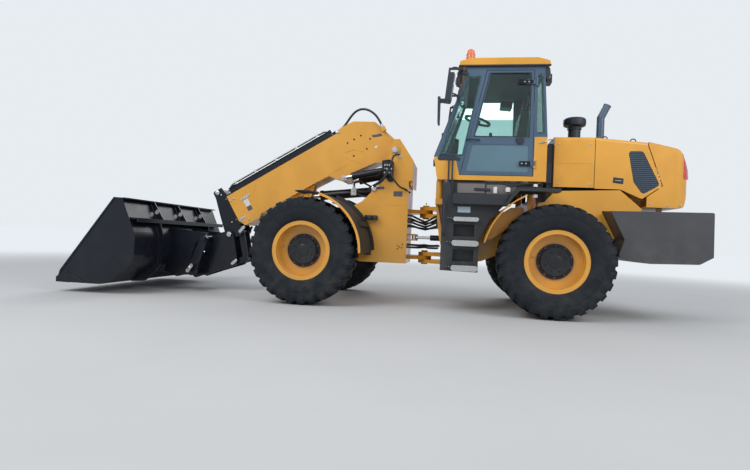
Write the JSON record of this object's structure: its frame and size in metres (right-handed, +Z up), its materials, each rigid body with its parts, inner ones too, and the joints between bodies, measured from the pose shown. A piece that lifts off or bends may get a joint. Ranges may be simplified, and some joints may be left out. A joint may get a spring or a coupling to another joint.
{
  "type": "telescopic wheel loader",
  "caption": "Articulated wheel loader with a two-part telescopic boom, a quick coupler and a wide bucket; enclosed cab, engine hood and counterweight behind.",
  "frame": {"origin": "middle of the machine on the ground", "axes": "+X forward, towards the bucket; +Y to the left; +Z up"},
  "size_m": [8.0538, 2.5, 3.464],
  "materials": {
    "body_yellow": "semi-gloss orange-yellow enamel",
    "black_steel": "semi-gloss black enamel",
    "dark_grey": "satin dark grey enamel",
    "cab_grey": "satin dark grey enamel",
    "chrome": "polished",
    "tyre": "matt rubber",
    "glass": "clear tinted",
    "seat_vinyl": "matt vinyl",
    "plastic": "textured black",
    "amber": "clear coloured lens",
    "cast": "painted casting",
    "rubber": "matt"
  },
  "bodies": {
    "rear": {"rear_frame": "body_yellow", "counterweight": "dark_grey", "steps_left": "dark_grey", "tank_right": "dark_grey", "rear_fenders": "body_yellow", "rear_axle": "body_yellow", "cab_tub": "body_yellow", "cab_frame": "cab_grey", "cab_roof": "body_yellow", "cab_glass": "glass", "seat": "seat_vinyl", "steering_column": "plastic", "hood_front": "body_yellow", "hood_tail": "body_yellow", "engine": "cast", "exhaust": "black_steel", "precleaner": "black_steel", "beacon": "amber", "work_lamps": "plastic", "mirrors": "plastic", "bulkhead": "dark_grey"},
    "front": {"front_frame": "body_yellow", "front_fenders": "body_yellow", "front_axle": "body_yellow"},
    "wheel_fl": {"tyre_fl": "tyre", "rim_fl": "body_yellow", "hub_fl": "black_steel"},
    "wheel_fr": {"tyre_fr": "tyre", "rim_fr": "body_yellow", "hub_fr": "black_steel"},
    "wheel_rl": {"tyre_rl": "tyre", "rim_rl": "body_yellow", "hub_rl": "black_steel"},
    "wheel_rr": {"tyre_rr": "tyre", "rim_rr": "body_yellow", "hub_rr": "black_steel"},
    "boom": {"outer_boom": "body_yellow", "telescope_barrel": "black_steel", "boom_hose": "rubber"},
    "telescope": {"inner_boom": "black_steel", "telescope_rod": "chrome"},
    "levers": {"tilt_levers": "black_steel"},
    "tool": {"coupler": "black_steel", "bucket": "black_steel"},
    "link": {"tilt_link": "black_steel"},
    "lift_cylinder": {"lift_barrel": "black_steel"},
    "lift_piston": {"lift_rod": "chrome"},
    "level_cylinders": {"levelling_barrels": "black_steel"},
    "level_pistons": {"levelling_rods": "chrome"},
    "cab_door": {"door_left": "cab_grey", "door_glass": "glass", "door_panel": "dark_grey"},
    "hood_door_left": {"engine_door_left": "body_yellow"},
    "hood_door_right": {"engine_door_right": "body_yellow"},
    "steer_cylinder_left": {"steer_barrel_left": "black_steel"},
    "steer_piston_left": {"steer_rod_left": "chrome"},
    "steer_cylinder_right": {"steer_barrel_right": "black_steel"},
    "steer_piston_right": {"steer_rod_right": "chrome"}
  },
  "joints": [
    {"name": "articulation", "type": "hinge", "parent": "rear", "child": "front", "pos_m": [-0.69888, 0, 0.9], "axis": [0, 0, 1], "range_deg": [-38, 38]},
    {"name": "wheel_fl", "type": "hinge", "parent": "front", "child": "wheel_fl", "pos_m": [0.76312, 0.9815, 0.675], "axis": [0, 1, 0], "continuous": true},
    {"name": "wheel_fr", "type": "hinge", "parent": "front", "child": "wheel_fr", "pos_m": [0.76312, -0.9815, 0.675], "axis": [0, 1, 0], "continuous": true},
    {"name": "wheel_rl", "type": "hinge", "parent": "rear", "child": "wheel_rl", "pos_m": [-2.28088, 0.9815, 0.675], "axis": [0, 1, 0], "continuous": true},
    {"name": "wheel_rr", "type": "hinge", "parent": "rear", "child": "wheel_rr", "pos_m": [-2.28088, -0.9815, 0.675], "axis": [0, 1, 0], "continuous": true},
    {"name": "boom_lift", "type": "hinge", "parent": "front", "child": "boom", "pos_m": [-0.26888, 0, 2.07], "axis": [0, -1, 0], "range_deg": [0, 65]},
    {"name": "telescope", "type": "slide", "parent": "boom", "child": "telescope", "axis": [0.8634, 0, -0.5045], "range_m": [0, 1.2]},
    {"name": "bucket_tilt", "type": "hinge", "parent": "telescope", "child": "tool", "pos_m": [2.14588, 0, 0.83498], "axis": [0, 1, 0], "range_deg": [-40, 95]},
    {"name": "lever_turn", "type": "hinge", "parent": "telescope", "child": "levers", "pos_m": [1.99987, 0, 0.88439], "axis": [0, 1, 0], "range_deg": [-40, 95]},
    {"name": "link_turn", "type": "hinge", "parent": "tool", "child": "link", "pos_m": [2.0579, 0, 0.43468], "axis": [0, 1, 0], "range_deg": [-95, 40]},
    {"name": "lift_barrel_turn", "type": "hinge", "parent": "front", "child": "lift_cylinder", "pos_m": [0.00112, 0, 1.54], "axis": [0, -1, 0], "range_deg": [-0.67, 67.44]},
    {"name": "lift_stroke", "type": "slide", "parent": "lift_cylinder", "child": "lift_piston", "axis": [0.9948, 0, -0.1022], "range_m": [-0.0058, 0.5875]},
    {"name": "level_barrels_turn", "type": "hinge", "parent": "front", "child": "level_cylinders", "pos_m": [-0.19888, 0, 1.82], "axis": [0, -1, 0], "range_deg": [-0.65, 65.75]},
    {"name": "level_stroke", "type": "slide", "parent": "level_cylinders", "child": "level_pistons", "axis": [0.9805, 0, -0.1966], "range_m": [-0.0028, 0.2802]},
    {"name": "steer_left_turn", "type": "hinge", "parent": "rear", "child": "steer_cylinder_left", "pos_m": [-1.17488, 0.215, 0.9], "axis": [0, 0, 1], "range_deg": [-8.25, 8.25]},
    {"name": "steer_left_stroke", "type": "slide", "parent": "steer_cylinder_left", "child": "steer_piston_left", "axis": [1, 0, 0], "range_m": [-0.1422, 0.1422]},
    {"name": "steer_right_turn", "type": "hinge", "parent": "rear", "child": "steer_cylinder_right", "pos_m": [-1.17488, -0.215, 0.9], "axis": [0, 0, 1], "range_deg": [-8.25, 8.25]},
    {"name": "steer_right_stroke", "type": "slide", "parent": "steer_cylinder_right", "child": "steer_piston_right", "axis": [1, 0, 0], "range_m": [-0.1422, 0.1422]},
    {"name": "cab_door", "type": "hinge", "parent": "rear", "child": "cab_door", "pos_m": [-2.03688, 0.79, 2.3], "axis": [0, 0, 1], "range_deg": [0, 95]},
    {"name": "hood_door_left", "type": "hinge", "parent": "rear", "child": "hood_door_left", "pos_m": [-3.05888, 0.26, 2.232], "axis": [1, 0, 0], "range_deg": [0, 70]},
    {"name": "hood_door_right", "type": "hinge", "parent": "rear", "child": "hood_door_right", "pos_m": [-3.05888, -0.26, 2.232], "axis": [-1, 0, 0], "range_deg": [0, 70]}
  ],
  "couplings": [
    {"joint": "lever_turn", "follows": "bucket_tilt", "ratio": 1},
    {"joint": "link_turn", "follows": "bucket_tilt", "ratio": -1},
    {"joint": "lift_barrel_turn", "follows": "boom_lift", "ratio": 1.0272},
    {"joint": "lift_stroke", "follows": "boom_lift", "m_per_rad": 0.51271},
    {"joint": "level_barrels_turn", "follows": "boom_lift", "ratio": 1.0015},
    {"joint": "level_stroke", "follows": "boom_lift", "m_per_rad": 0.2445},
    {"joint": "steer_left_turn", "follows": "articulation", "ratio": 0.2128},
    {"joint": "steer_left_stroke", "follows": "articulation", "m_per_rad": -0.21016},
    {"joint": "steer_right_turn", "follows": "articulation", "ratio": 0.2128},
    {"joint": "steer_right_stroke", "follows": "articulation", "m_per_rad": 0.21016}
  ]
}
